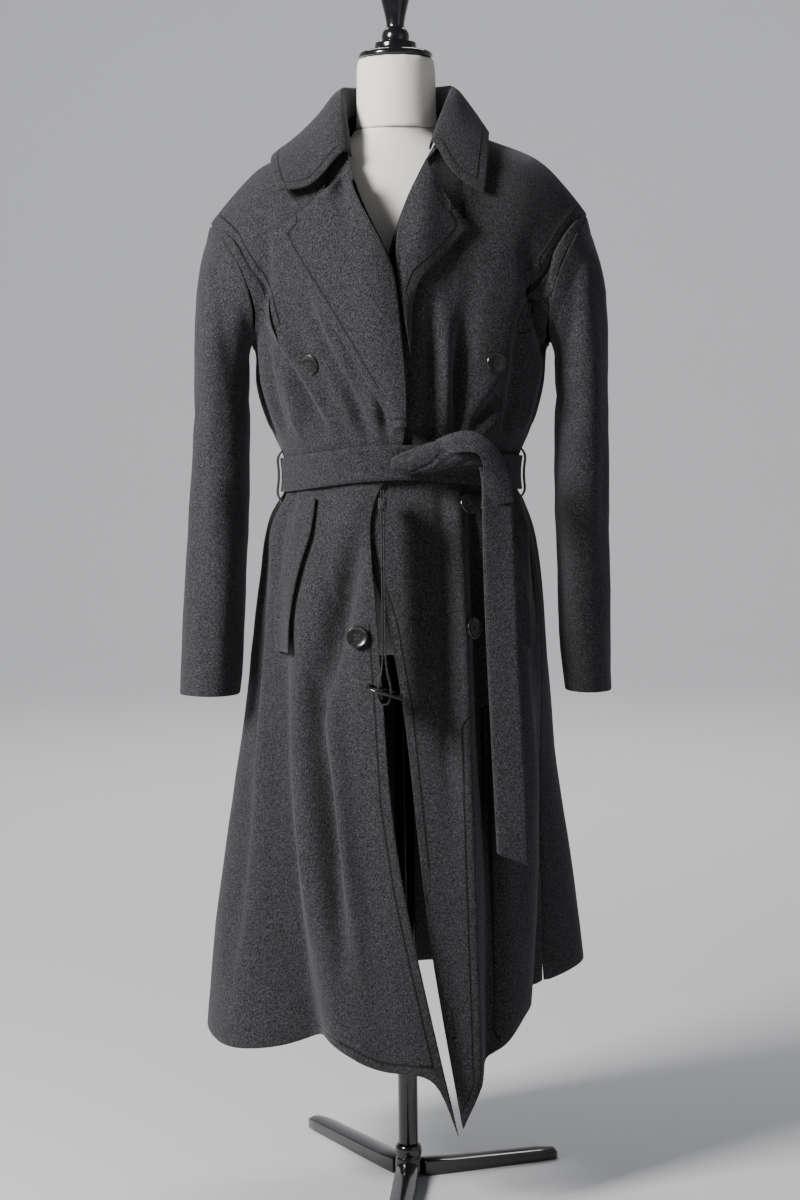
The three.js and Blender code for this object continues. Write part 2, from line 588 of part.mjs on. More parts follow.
const beltHeight = (s) => BELT.side + BELT.rise * Math.max(0, Math.cos(s * Math.PI / 2)) ** 2;
const beltLift = (s) => 3.2 + ease(-0.7, -0.35, s) * (1 - ease(0.02, 0.2, s)) * 8;

function beltWrap() {
  const ring = (out) => [-1, 0, 1].map((k) => steps(-2, 2, 48).slice(0, -1).map((s) => {
    const z = beltHeight(s) + (k * BELT.wide) / 2;
    const p = lower(s, z);
    const r = Math.hypot(p.x, p.y);
    const grow = (r + beltLift(s) + out) / r;
    return V(p.x * grow, p.y * grow, z);
  }));
  return between(ring(BELT.thick), ring(0), true);
}
add('belt_wrap', beltWrap(), 'wool');

// Rounded lump: level rings whose size follows an ellipse from end to end.
function lump(centre, half, turn) {
  const rings = [-0.96, -0.7, -0.3, 0.1, 0.5, 0.8, 0.97].map((k) => {
    const size = Math.sqrt(1 - Math.abs(k) ** 3);
    return steps(0, 2 * Math.PI, 14).slice(0, -1)
      .map((a) => V(k * half.x, half.y * size * Math.sin(a), half.z * size * Math.cos(a)));
  });
  const geometry = stack(rings);
  geometry.rotateY(turn);
  return geometry.translate(centre.x, centre.y, centre.z);
}
add('belt_knot', lump(V(60, -152, 1008), { x: 42, y: 13, z: 23 }, -0.12), 'wool');

// Middle line of the belt's hanging end, and how far its face is turned from square on.
const BELT_END = [
  { z: 996, x: 121, y: -142, turn: 20 }, { z: 975, x: 125, y: -150, turn: 26 }, { z: 935, x: 126, y: -154, turn: 18 },
  { z: 870, x: 127, y: -158, turn: 10 }, { z: 765, x: 130, y: -164, turn: 8 }, { z: 625, x: 136, y: -172, turn: 6 },
  { z: 520, x: 140, y: -178, turn: 10 }, { z: 476, x: 141, y: -180, turn: 12 },
];

function beltEnd() {
  const rows = BELT_END.map(({ z, x, y, turn }, i) => [-1, 0, 1].map((k) => {
    const a = THREE.MathUtils.degToRad(turn);
    const slant = i === BELT_END.length - 1 ? k * 9 : 0;
    const half = (k * 43) / 2;
    return { p: V(x + half * Math.cos(a), y + half * Math.sin(a), z - slant), n: V(Math.sin(a), -Math.cos(a), 0) };
  }));
  return laid(rows, BELT.thick);
}
add('belt_end', beltEnd(), 'wool');

// The belt's buckle end hangs edge on: two plies that part round the buckle's middle bar.
const STRAP = { x: -24, yTop: -176, yLow: -214, top: 962, low: 735, bar: 703, half: 22, ply: 2.2 };
const strapY = (z) => STRAP.yTop + ((STRAP.top - z) / (STRAP.top - STRAP.bar)) * (STRAP.yLow - STRAP.yTop);

function buckleStrap() {
  const side = [
    { x: 0.4, z: STRAP.top }, { x: 0.4, z: 880 }, { x: 0.4, z: 800 }, { x: 0.4, z: STRAP.low }, { x: 4.5, z: 721 },
    { x: 7.5, z: 708 }, { x: 7, z: 697 }, { x: 3.6, z: 689.5 },
  ];
  const path = [...side.map(({ x, z }) => [-x, z]), ...side.reverse().map(({ x, z }) => [x, z])];
  const out = (i) => {
    const [ax, az] = path[Math.max(0, i - 1)];
    const [bx, bz] = path[Math.min(path.length - 1, i + 1)];
    return V(bz - az, 0, ax - bx).normalize();
  };
  const rows = path.map(([x, z], i) => [-1, 0, 1].map((k) => ({
    p: V(STRAP.x + x, strapY(z) + k * STRAP.half, z), n: out(i),
  })));
  return laid(rows, STRAP.ply);
}
add('belt_buckle_strap', buckleStrap(), 'wool');

// Flat plate with holes, extruded, from an outline of half-sizes.
function plate(halfX, halfY, holes, thick) {
  const box = (path, x0, x1, y) => path.moveTo(x0, -y).lineTo(x1, -y).lineTo(x1, y).lineTo(x0, y).closePath();
  const shape = new THREE.Shape();
  box(shape, -halfX, halfX, halfY);
  for (const [x0, x1, y] of holes) {
    const hole = new THREE.Path();
    box(hole, x0, x1, y);
    shape.holes.push(hole);
  }
  return new THREE.ExtrudeGeometry(shape, { depth: thick, bevelEnabled: false }).translate(0, 0, -thick / 2);
}

const BUCKLE = { half: 25, bar: 5, thick: 3.4, tilt: 0.31 };
const innerX = BUCKLE.half - BUCKLE.bar;
add('buckle', plate(BUCKLE.half, STRAP.half + 7, [[-innerX, -2.4, STRAP.half + 2], [2.4, innerX, STRAP.half + 1.9]],
  BUCKLE.thick).rotateY(BUCKLE.tilt).translate(STRAP.x, strapY(STRAP.bar), STRAP.bar), 'horn');

add('belt_keeper', plate(5.6, STRAP.half + 5.6, [[-3.1, 3.1, STRAP.half + 2.6]], 13)
  .translate(STRAP.x, strapY(945), 945), 'wool');

// Narrow loops that hold the belt at the side seams.
function beltLoop(side) {
  const path = [{ up: 36, out: 4 }, { up: 27, out: 10.5 }, { up: 0, out: 10 }, { up: -27, out: 10.5 }, { up: -38, out: 4 }];
  const rows = path.map(({ up, out }) => [-1, 1].map((k) => {
    const s = side * (0.93 + k * 0.025);
    const z = beltHeight(s) + up;
    const p = lower(s, z);
    const n = V(p.x, p.y, 0).normalize();
    return { p: V(p.x, p.y, z).addScaledVector(n, out), n };
  }));
  return laid(rows, 2);
}
add('belt_loop_left', beltLoop(-1), 'wool');
add('belt_loop_right', beltLoop(1), 'wool');

// ---- pocket welts and buttons --------------------------------------------------------------------

// Slanted welt: x of its outer edge by height; it is 24 wide.
const WELT = [{ z: 948, x: -134 }, { z: 905, x: -139 }, { z: 880, x: -149 }, { z: 850, x: -158 }, { z: 810, x: -166 },
  { z: 775, x: -169 }, { z: 745, x: -167 }];
const welt = (side) => laid(WELT.map(({ z, x }) => [0, 12, 24].map((w) => onFront(side, side * (-x - w), z, PLY + 3.4))), WOOL);
add('pocket_welt_left', welt(-1), 'wool');
add('pocket_welt_right', welt(1), 'wool');

const BUTTONS = [
  { name: 'button_upper_left', side: -1, x: -121, z: 1126 },
  { name: 'button_upper_right', side: 1, x: 125, z: 1127 },
  { name: 'button_middle_right', side: 1, x: 89, z: 940 },
  { name: 'button_lower_left', side: -1, x: -56, z: 769 },
  { name: 'button_lower_right', side: 1, x: 90, z: 778 },
];
const BUTTON = [[0, 0], [11, 0], [14, 1], [15, 2.6], [14, 4], [12.4, 4], [10.6, 2.8], [0, 2.4]];
for (const { name, side, x, z } of BUTTONS) {
  const { p, n } = onFront(side, x, z, 4.2);
  const turn = new THREE.Quaternion().setFromUnitVectors(V(0, 0, 1), n);
  const geometry = new THREE.LatheGeometry(BUTTON.map(([r, h]) => new THREE.Vector2(r, h)), 20)
    .rotateX(Math.PI / 2).applyQuaternion(turn).translate(p.x, p.y, p.z);
  add(name, outward(geometry), 'horn');
}

// ---- dress form ------------------------------------------------------------------------

const FORM = [
  { z: 740, wide: 150, front: 112, back: 112 },
  { z: 800, wide: 158, front: 122, back: 124 },
  { z: 860, wide: 158, front: 120, back: 118 },
  { z: 930, wide: 143, front: 106, back: 102 },
  { z: 990, wide: 128, front: 98, back: 92 },
  { z: 1060, wide: 140, front: 106, back: 94 },
  { z: 1150, wide: 154, front: 112, back: 96 },
  { z: 1230, wide: 160, front: 112, back: 96 },
  { z: 1300, wide: 163, front: 102, back: 88 },
  { z: 1350, wide: 155, front: 89, back: 76 },
  { z: 1385, wide: 136, front: 73, back: 62 },
  { z: 1410, wide: 101, front: 63, back: 52 },
  { z: 1432, wide: 65, front: 51, back: 51 },
  { z: 1444, wide: 58, front: 52, back: 53 },
];
const ROUND = steps(0, 2 * Math.PI, 28).slice(0, -1);

function formTorso() {
  const rings = [...steps(740, 1380, 12), 1396, 1410, 1422, 1434, 1444].map((z) => ROUND.map((turn) => {
    const wide = read(FORM, 'z', z, 'wide');
    const deep = Math.cos(turn) > 0 ? read(FORM, 'z', z, 'front') : read(FORM, 'z', z, 'back');
    return V(wide * Math.sin(turn), -deep * Math.cos(turn), z);
  }));
  return stack(rings);
}

function ringStack(profile, sides) {
  return stack(profile.map(([r, z]) => steps(0, 2 * Math.PI, sides).slice(0, -1)
    .map((turn) => V(r * Math.sin(turn), -r * Math.cos(turn), z))));
}

add('form_torso', formTorso(), 'linen');
add('form_neck', ringStack([[56, 1444.3], [NECK_R, 1462], [NECK_R, NECK_TOP - 5], [NECK_R - 4, NECK_TOP]], 28), 'linen');
add('neck_cap', ringStack([[50, NECK_TOP + 0.3], [51, NECK_TOP + 4], [48, NECK_TOP + 9], [29, NECK_TOP + 12],
  [28, NECK_TOP + 21]], 28), 'lacquer');
add('finial', ringStack([[18, NECK_TOP + 21.3], [19.5, NECK_TOP + 28], [18, NECK_TOP + 36], [12, NECK_TOP + 41],
  [13, NECK_TOP + 54], [20, NECK_TOP + 78], [23, NECK_TOP + 98], [19, NECK_TOP + 116], [9, NECK_TOP + 126]], 24), 'lacquer');

// ---- stand --------------------------------------------------------------------------------

add('pole', ringStack([[POLE_R, 46.3], [POLE_R, 739.7]], 20), 'lacquer');
add('hub', ringStack([[17, 0], [19, 4], [19, 26], [17, 29], [19, 32], [19, 42], [16, 46]], 24), 'lacquer');

const LEGS = [
  { name: 'leg_front', at: -4, reach: 262 },
  { name: 'leg_right', at: 111, reach: 225 },
  { name: 'leg_back', at: -151, reach: 290 },
];

// A flat tapered leg with a low ridge: its section at the hub and at its rounded tip.
function leg({ at, reach }) {
  const section = (r, half, high) => [V(r, -half, 0), V(r, half, 0), V(r, half, high - 3),
    V(r, half * 0.35, high), V(r, -half * 0.35, high), V(r, -half, high - 3)];
  const rings = [section(19.4, 15, 24), section(60, 16, 22), section(reach - 30, 15, 19), section(reach - 6, 13, 17),
    section(reach, 8, 13)];
  const geometry = stack(rings);
  return geometry.rotateZ(THREE.MathUtils.degToRad(at - 90));
}
LEGS.forEach((row) => add(row.name, leg(row), 'lacquer'));

export default group;
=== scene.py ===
import math

import bmesh
import bpy
import numpy as np
from mathutils import Matrix, Vector, noise
from mathutils.bvhtree import BVHTree


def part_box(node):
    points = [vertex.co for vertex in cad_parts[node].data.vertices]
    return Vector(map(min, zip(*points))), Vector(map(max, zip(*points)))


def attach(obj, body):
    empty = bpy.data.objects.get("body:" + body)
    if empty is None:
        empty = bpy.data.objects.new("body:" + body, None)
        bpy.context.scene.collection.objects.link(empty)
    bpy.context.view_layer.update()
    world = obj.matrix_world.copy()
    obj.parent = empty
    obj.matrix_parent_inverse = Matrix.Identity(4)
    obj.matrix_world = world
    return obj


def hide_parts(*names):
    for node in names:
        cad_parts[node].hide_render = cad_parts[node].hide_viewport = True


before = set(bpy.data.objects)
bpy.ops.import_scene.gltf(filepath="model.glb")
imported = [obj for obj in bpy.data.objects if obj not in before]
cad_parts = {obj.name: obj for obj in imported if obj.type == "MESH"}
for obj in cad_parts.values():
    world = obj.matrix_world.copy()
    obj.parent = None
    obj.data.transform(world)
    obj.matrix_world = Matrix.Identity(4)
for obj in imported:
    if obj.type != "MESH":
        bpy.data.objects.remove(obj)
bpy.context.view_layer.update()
scene = bpy.context.scene

# ---- Camera -----------------------------------------------------------------
# It stands square on at chest height, a little over three metres off, and looks slightly down.
LENS = 74.4
CAMERA_AT = (0.0, -3.4, 1.05)
LOOK_DOWN = 4.1
ROLL = 0.67

camera_data = bpy.data.cameras.new("camera")
camera_data.lens = LENS
camera_data.sensor_width = 36.0
camera_data.sensor_fit = "AUTO"
camera = bpy.data.objects.new("camera", camera_data)
camera.location = CAMERA_AT
camera.rotation_euler = (math.radians(90 - LOOK_DOWN), math.radians(ROLL), 0.0)
scene.collection.objects.link(camera)
scene.camera = camera

# ---- Room ---------------------------------------------------------------------
# A plain pale floor that rises all round into a plain pale wall, a broad soft key lamp on the
# viewer's left and a weak fill, so that the right side of the coat falls into shadow.
WALL_AT = 9.0
COVE = 2.5
ROOM_SIDES = 72


def plain_material(name, colour, rough):
    material = bpy.data.materials.new(name)
    material.use_nodes = True
    shader = material.node_tree.nodes["Principled BSDF"]
    shader.inputs["Base Color"].default_value = (*colour, 1.0)
    shader.inputs["Roughness"].default_value = rough
    return material


profile = [(0.001, 0.0), (1.2, 0.0), (WALL_AT - COVE, 0.0)]
profile += [(WALL_AT - COVE + COVE * math.sin(a), COVE - COVE * math.cos(a))
            for a in (math.radians(15 * k) for k in range(1, 7))]
profile += [(WALL_AT, 7.0)]
points = [(r * math.cos(turn), r * math.sin(turn), z) for r, z in profile
          for turn in (2 * math.pi * k / ROOM_SIDES for k in range(ROOM_SIDES))]
room_faces = [(i * ROOM_SIDES + k, i * ROOM_SIDES + (k + 1) % ROOM_SIDES,
               (i + 1) * ROOM_SIDES + (k + 1) % ROOM_SIDES, (i + 1) * ROOM_SIDES + k)
              for i in range(len(profile) - 1) for k in range(ROOM_SIDES)]
room_mesh = bpy.data.meshes.new("room")
room_mesh.from_pydata(points, [], room_faces)
for face in room_mesh.polygons:
    face.use_smooth = True
room_mesh.materials.append(plain_material("room_paint", (0.62, 0.625, 0.64), 0.9))
room = bpy.data.objects.new("room", room_mesh)
scene.collection.objects.link(room)


def lamp(name, at, towards, size, power, colour):
    data = bpy.data.lights.new(name, "AREA")
    data.shape = "RECTANGLE"
    data.size, data.size_y = size
    data.energy = power
    data.color = colour
    made = bpy.data.objects.new(name, data)
    made.location = at
    made.rotation_euler = (Vector(towards) - Vector(at)).to_track_quat("-Z", "Y").to_euler()
    scene.collection.objects.link(made)


lamp("key", (-2.5, -1.9, 2.5), (0, 0, 0.95), (0.9, 1.2), 260, (1.0, 1.0, 0.99))
lamp("fill", (2.6, -2.6, 1.4), (0, 0, 0.9), (2.0, 2.0), 6, (0.95, 0.97, 1.0))
lamp("top", (0.0, 3.2, 4.6), (0, 5.5, 0.6), (4.0, 2.0), 240, (1.0, 1.0, 1.0))
world = bpy.data.worlds.new("studio")
world.use_nodes = True
world.node_tree.nodes["Background"].inputs["Color"].default_value = (0.8, 0.83, 0.88, 1.0)
world.node_tree.nodes["Background"].inputs["Strength"].default_value = 0.12
scene.world = world

# ---- Coat cloth, and the coat's body: back, fronts and sleeves -----------------------------------
# Charcoal melton, fulled and slightly hairy, of mixed dark and pale fibres. Each piece is cut
# single and hangs from the shoulders, so small dents and ripples run down it between its folds.
STITCH_IN = 0.0115
GROOVE_HALF = 0.0022
STITCH_APART = 0.0055
STITCH_HALF = (0.0018, 0.00045, 0.0004)
ROOT = "coat_and_form"


def mix_node(tree, factor, dark, pale):
    node = tree.nodes.new("ShaderNodeMix")
    node.data_type = "RGBA"
    node.inputs["A"].default_value = (*dark, 1.0)
    node.inputs["B"].default_value = (*pale, 1.0)
    tree.links.new(factor, node.inputs["Factor"])
    return node.outputs["Result"]


def speckle(tree, scale, low, high, stretch=(1, 1, 1), detail=4.0):
    place = tree.nodes.new("ShaderNodeTexCoord")
    mapping = tree.nodes.new("ShaderNodeMapping")
    mapping.inputs["Scale"].default_value = stretch
    texture = tree.nodes.new("ShaderNodeTexNoise")
    texture.inputs["Scale"].default_value = scale
    texture.inputs["Detail"].default_value = detail
    ramp = tree.nodes.new("ShaderNodeMapRange")
    ramp.inputs["From Min"].default_value = low
    ramp.inputs["From Max"].default_value = high
    tree.links.new(place.outputs["Object"], mapping.inputs["Vector"])
    tree.links.new(mapping.outputs["Vector"], texture.inputs["Vector"])
    tree.links.new(texture.outputs["Fac"], ramp.inputs["Value"])
    return ramp.outputs["Result"]


def stitch_groove(tree):
    """1 along the line of topstitching and 0 away from it, from each point's distance to the edge; it drives
    both the groove's bump and the painted shade in it.
    """
    distance = tree.nodes.new("ShaderNodeAttribute")
    distance.attribute_name = "from_edge"
    away = tree.nodes.new("ShaderNodeMath")
    away.operation = "SUBTRACT"
    away.inputs[1].default_value = STITCH_IN
    size = tree.nodes.new("ShaderNodeMath")
    size.operation = "ABSOLUTE"
    fade = tree.nodes.new("ShaderNodeMapRange")
    fade.interpolation_type = "SMOOTHSTEP"
    fade.inputs["From Min"].default_value = GROOVE_HALF
    fade.inputs["From Max"].default_value = 0.0
    tree.links.new(distance.outputs["Fac"], away.inputs[0])
    tree.links.new(away.outputs["Value"], size.inputs[0])
    tree.links.new(size.outputs["Value"], fade.inputs["Value"])
    return fade.outputs["Result"]


def melton():
    material = bpy.data.materials.new("charcoal_melton")
    material.use_nodes = True
    tree = material.node_tree
    shader = tree.nodes["Principled BSDF"]
    shader.inputs["Roughness"].default_value = 0.95
    shader.inputs["Specular IOR Level"].default_value = 0.15
    shader.inputs["Sheen Weight"].default_value = 0.18
    shader.inputs["Sheen Roughness"].default_value = 0.45
    shader.inputs["Sheen Tint"].default_value = (0.75, 0.76, 0.8, 1.0)
    fine = speckle(tree, 900.0, 0.38, 0.62, (1.0, 1.0, 0.7), 3.0)
    ground = mix_node(tree, fine, (0.011, 0.0112, 0.012), (0.07, 0.07, 0.074))
    tufts = speckle(tree, 300.0, 0.34, 0.66)
    tint = tree.nodes.new("ShaderNodeMix")
    tint.data_type = "RGBA"
    tint.blend_type = "MULTIPLY"
    tint.inputs["Factor"].default_value = 0.8
    tree.links.new(ground, tint.inputs["A"])
    tree.links.new(mix_node(tree, tufts, (0.42, 0.42, 0.43), (1.0, 0.99, 1.0)), tint.inputs["B"])
    groove = stitch_groove(tree)
    # Painted shade: along the stitching groove the cloth's colour is darkened to near black, on top of the
    # groove's bump.
    groove_painted_shade = tree.nodes.new("ShaderNodeMix")
    groove_painted_shade.data_type = "RGBA"
    groove_painted_shade.inputs["B"].default_value = (0.006, 0.006, 0.0065, 1.0)
    tree.links.new(groove, groove_painted_shade.inputs["Factor"])
    tree.links.new(tint.outputs["Result"], groove_painted_shade.inputs["A"])
    tree.links.new(groove_painted_shade.outputs["Result"], shader.inputs["Base Color"])
    nap = speckle(tree, 520.0, 0.25, 0.75, (1, 1, 0.8), 6.0)
    height = tree.nodes.new("ShaderNodeMath")
    height.operation = "MULTIPLY_ADD"
    height.inputs[1].default_value = -1.6
    tree.links.new(groove, height.inputs[0])
    tree.links.new(nap, height.inputs[2])
    bump = tree.nodes.new("ShaderNodeBump")
    bump.inputs["Strength"].default_value = 0.6
    bump.inputs["Distance"].default_value = 0.0012
    tree.links.new(height.outputs["Value"], bump.inputs["Height"])
    tree.links.new(bump.outputs["Normal"], shader.inputs["Normal"])
    return material


wool = melton()
thread = plain_material("topstitch_thread", (0.02, 0.02, 0.022), 0.7)

# Ridges (+) and troughs (-) of the cloth as seen square on, in metres: start and end (x, z), half
# width and height. They run aslant from the shoulders to the belt and fall from it down the skirt.
STROKES = [
    (-0.125, 1.211, -0.044, 1.036, 0.008, -0.009), (-0.108, 1.200, -0.062, 1.060, 0.010, 0.004),
    (-0.179, 1.172, -0.101, 1.040, 0.010, -0.009), (-0.152, 1.160, -0.084, 1.045, 0.011, 0.005),
    (-0.178, 1.330, -0.186, 1.180, 0.010, -0.006), (-0.027, 1.081, -0.017, 1.035, 0.006, -0.005),
    (0.044, 1.211, 0.042, 1.040, 0.008, -0.007), (0.083, 1.172, 0.077, 1.045, 0.009, -0.008),
    (0.174, 1.276, 0.198, 1.146, 0.010, -0.009), (0.140, 1.090, 0.100, 1.040, 0.009, -0.008),
    (0.060, 1.190, 0.060, 1.050, 0.010, 0.004), (-0.060, 0.880, -0.121, 0.660, 0.013, -0.013),
    (-0.121, 0.690, -0.086, 0.352, 0.015, -0.015), (-0.104, 0.690, -0.062, 0.340, 0.014, 0.007),
    (-0.190, 0.880, -0.222, 0.600, 0.010, -0.009), (-0.212, 0.700, -0.236, 0.330, 0.012, -0.008),
    (0.056, 0.950, 0.060, 0.600, 0.010, -0.006), (0.075, 0.955, 0.082, 0.500, 0.012, 0.005),
    (0.096, 0.950, 0.122, 0.320, 0.010, -0.009), (0.176, 0.880, 0.214, 0.420, 0.012, -0.009),
]
# The sleeves' own creases, from the inner side of the elbow across to the outer side; the other
# sleeve has them mirrored.
ELBOW = [
    (-0.214, 1.080, -0.262, 1.040, 0.010, -0.0045), (-0.216, 1.052, -0.272, 1.020, 0.011, 0.0030),
    (-0.217, 1.020, -0.276, 0.998, 0.010, -0.0045), (-0.220, 0.955, -0.266, 0.985, 0.010, -0.0035),
    (-0.284, 1.200, -0.272, 0.820, 0.017, -0.0030), (-0.236, 1.260, -0.226, 1.110, 0.012, -0.0040),
    (-0.240, 0.860, -0.246, 0.700, 0.014, 0.0025),
]
# Small gathers under the belt, all round: degrees from the front, half width in degrees, height.
GATHERS = [(-171, 3.2, -5), (-158, 4.0, 4), (-147, 2.8, -5), (-133, 3.4, -4), (-122, 3.8, 4),
           (-108, 3.0, -6), (-96, 3.6, 3), (-84, 2.8, -5), (-70, 3.2, -4), (-58, 3.8, 3),
           (61, 3.2, -5), (73, 3.8, 3), (86, 2.8, -6), (99, 3.4, 4), (113, 3.0, -5),
           (127, 3.8, -4), (139, 3.2, 4), (152, 2.8, -5), (164, 3.6, 4), (176, 3.0, -4)]
BELT_AT = 0.997
FOLD_DEPTH = 1.9


def ease(low, high, value):
    t = np.clip((value - low) / (high - low), 0.0, 1.0)
    return t * t * (3.0 - 2.0 * t)


def folds(at, strokes, whole):
    """How far the strokes and, on the whole coat, the gathers move each point out."""
    out = np.zeros(len(at))
    front = ease(0.0, 0.05, -at[:, 1]) if whole else 1.0
    for x0, z0, x1, z1, half, high in strokes:
        along = np.array([x1 - x0, z1 - z0])
        length = np.hypot(*along)
        t = ((at[:, [0, 2]] - (x0, z0)) @ along) / length ** 2
        off = np.hypot(*(at[:, [0, 2]] - ((x0, z0) + np.clip(t, 0, 1)[:, None] * along)).T)
        ends = 0.35 + 0.65 * np.sin(np.pi * np.clip(t, 0, 1))
        out += FOLD_DEPTH * front * high * ends * np.exp(-(off / half) ** 2)
    if not whole:
        return out
    away = np.abs(at[:, 2] - BELT_AT)
    near = ease(0.03, 0.055, away) * (1 - ease(0.09, 0.26, away))
    degrees = np.degrees(np.arctan2(at[:, 0], -at[:, 1]))
    for turn, half, high in GATHERS:
        off = (degrees - turn + 180) % 360 - 180
        out += FOLD_DEPTH * near * high / 1000 * np.exp(-(off / half) ** 2)
    return out


def smooth_copy(node, name, levels=2, crease=0.85):
    """The construction's own solid, its facets merged into quads and rounded by subdivision. Cut
    edges stay crisp. Returns the object and the coarse edges with the faces that they bound."""
    work = bmesh.new()
    work.from_mesh(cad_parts[node].data)
    bmesh.ops.remove_doubles(work, verts=work.verts, dist=2e-5)
    bmesh.ops.join_triangles(work, faces=work.faces, angle_face_threshold=3.1, angle_shape_threshold=3.1,
                             cmp_seam=False, cmp_sharp=False, cmp_uvs=False, cmp_vcols=False,
                             cmp_materials=False)
    layer = work.edges.layers.float.get("crease_edge") or work.edges.layers.float.new("crease_edge")
    rims = []
    for edge in work.edges:
        if len(edge.link_faces) == 2 and edge.calc_face_angle() > math.radians(52):
            edge[layer] = crease
            for face in edge.link_faces:
                rims.append((edge.verts[0].co.copy(), edge.verts[1].co.copy(), face.normal.copy(),
                             face.calc_center_median(), face.calc_area()))
    mesh = bpy.data.meshes.new(name)
    work.to_mesh(mesh)
    work.free()
    made = bpy.data.objects.new(name, mesh)
    scene.collection.objects.link(made)
    rounding = made.modifiers.new("rounding", "SUBSURF")
    rounding.levels = levels
    rounding.render_levels = levels
    graph = bpy.context.evaluated_depsgraph_get()
    fine = bpy.data.meshes.new_from_object(made.evaluated_get(graph))
    made.modifiers.clear()
    made.data = fine
    for face in fine.polygons:
        face.use_smooth = True
    return made, rims


def settle(made, centre, dents, strokes):
    """Moves both faces of a cloth wall together, out from its own middle line."""
    mesh = made.data
    at = np.empty(len(mesh.vertices) * 3)
    mesh.vertices.foreach_get("co", at)
    at = at.reshape(-1, 3)
    out = folds(at, strokes, strokes is STROKES)
    if dents:
        out += dents * np.array([
            noise.noise(Vector((x * 18, y * 18, z * 7))) + 0.4 * noise.noise(Vector((x, y, z * 0.5)) * 46)
            for x, y, z in at])
    way = at[:, :2] - np.array(centre)
    way /= np.maximum(np.linalg.norm(way, axis=1), 1e-4)[:, None]
    at[:, :2] += way * out[:, None]
    mesh.vertices.foreach_set("co", at.ravel())
    mesh.update()


def stitched_edges(rims, centre, where):
    """The outer face's own cut edges: (start, end, face normal, direction into the face)."""
    kept = []
    for a, b, normal, middle, area in rims:
        centre_way = Vector((middle.x - centre[0], middle.y - centre[1], 0.0)).normalized()
        half = (a + b) / 2
        along = (b - a).normalized()
        inside = (middle - half) - along * (middle - half).dot(along)
        if normal.dot(centre_way) > 0.35 and inside.length > 0.0025 and where(half):
            kept.append((a, b, normal, inside.normalized()))
    return kept


def mark_edges(made, edges):
    """Stores each point's distance from the stitched edges, for the groove along the stitching and the
    painted shade in it.
    """
    mesh = made.data
    at = np.empty(len(mesh.vertices) * 3)
    mesh.vertices.foreach_get("co", at)
    at = at.reshape(-1, 3)
    least = np.full(len(at), 1.0)
    ends = {}
    for a, b, _, _ in edges:
        for end in (a, b):
            key = tuple(round(v, 5) for v in end)
            ends[key] = ends.get(key, 0) + 1
        a, b = np.array(a), np.array(b)
        t = ((at - a) @ (b - a)) / max((b - a) @ (b - a), 1e-12)
        off = np.linalg.norm(at - a - t[:, None] * (b - a), axis=1)
        least = np.where((t > -0.02) & (t < 1.02), np.minimum(least, off), least)
    for key, times in ends.items():
        if times > 1:
            least = np.minimum(least, np.linalg.norm(at - np.array(key), axis=1))
    mesh.attributes.new("from_edge", "FLOAT", "POINT").data.foreach_set("value", least)


def sew(made, edges, name):
    """Topstitches as small rounded bars, a fixed way inside the stitched edges, lying on the cloth."""
    tree = BVHTree.FromPolygons([v.co.copy() for v in made.data.vertices],
                                [list(f.vertices) for f in made.data.polygons])
    work = bmesh.new()
    for a, b, normal, inside in edges:
        along = b - a
        count = max(1, round(along.length / STITCH_APART))
        for step in range(count):
            spot = a + along * ((step + 0.5) / count) + inside * STITCH_IN
            found, face_normal, _, far = tree.find_nearest(spot + normal * 0.004)
            if found is None or far > 0.02:
                continue
            side = along.normalized().cross(face_normal).normalized()
            way = face_normal.cross(side)
            turn = Matrix((way, side, face_normal)).transposed().to_4x4()
            place = Matrix.Translation(found + face_normal * 0.0001) @ turn
            bmesh.ops.create_icosphere(work, subdivisions=1, radius=1.0,
                                       matrix=place @ Matrix.Diagonal((*STITCH_HALF, 1)))
    mesh = bpy.data.meshes.new(name)
    work.to_mesh(mesh)
    work.free()
    mesh.materials.append(thread)
    sewn = bpy.data.objects.new(name, mesh)
    scene.collection.objects.link(sewn)
    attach(sewn, ROOT)
    return sewn


def coat_piece(node, name, centre=(0.0, 0.0), dents=0.002,
               strokes=(), stitch=None, levels=2):
    """One cut piece: its form rounded, its folds and topstitching, given the melton and parented to the
    coat-and-form body.
    """
    made, rims = smooth_copy(node, name, levels)
    edges = stitched_edges(rims, centre, stitch) if stitch else []
    settle(made, centre, dents, strokes)
    mark_edges(made, edges)
    made.data.materials.clear()
    made.data.materials.append(wool)
    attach(made, ROOT)
    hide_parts(node)
    sewn = [sew(made, edges, f"{name}_topstitch")] if edges else []
    return made


SLEEVE_LEFT_AT = (-0.25, -0.01)
SLEEVE_RIGHT_AT = (0.245, -0.01)
coat_piece("back", "coat_back", strokes=STROKES)
coat_piece("front_left", "coat_front_left", strokes=STROKES,
           stitch=lambda p: (-0.12 < p.x < 0.12 and p.z < 0.95) or (p.x < -0.17 and 1.15 < p.z < 1.4))
coat_piece("front_right", "coat_front_right", strokes=STROKES,
           stitch=lambda p: (-0.12 < p.x < 0.12 and p.z < 0.95) or (p.x > 0.17 and 1.15 < p.z < 1.4))
coat_piece("sleeve_left", "coat_sleeve_left", centre=SLEEVE_LEFT_AT,
           dents=0.004, strokes=ELBOW)
coat_piece("sleeve_right", "coat_sleeve_right", centre=SLEEVE_RIGHT_AT,
           dents=0.004, strokes=[(-x0, z0, -x1, z1, half, high) for x0, z0, x1, z1, half, high in ELBOW])

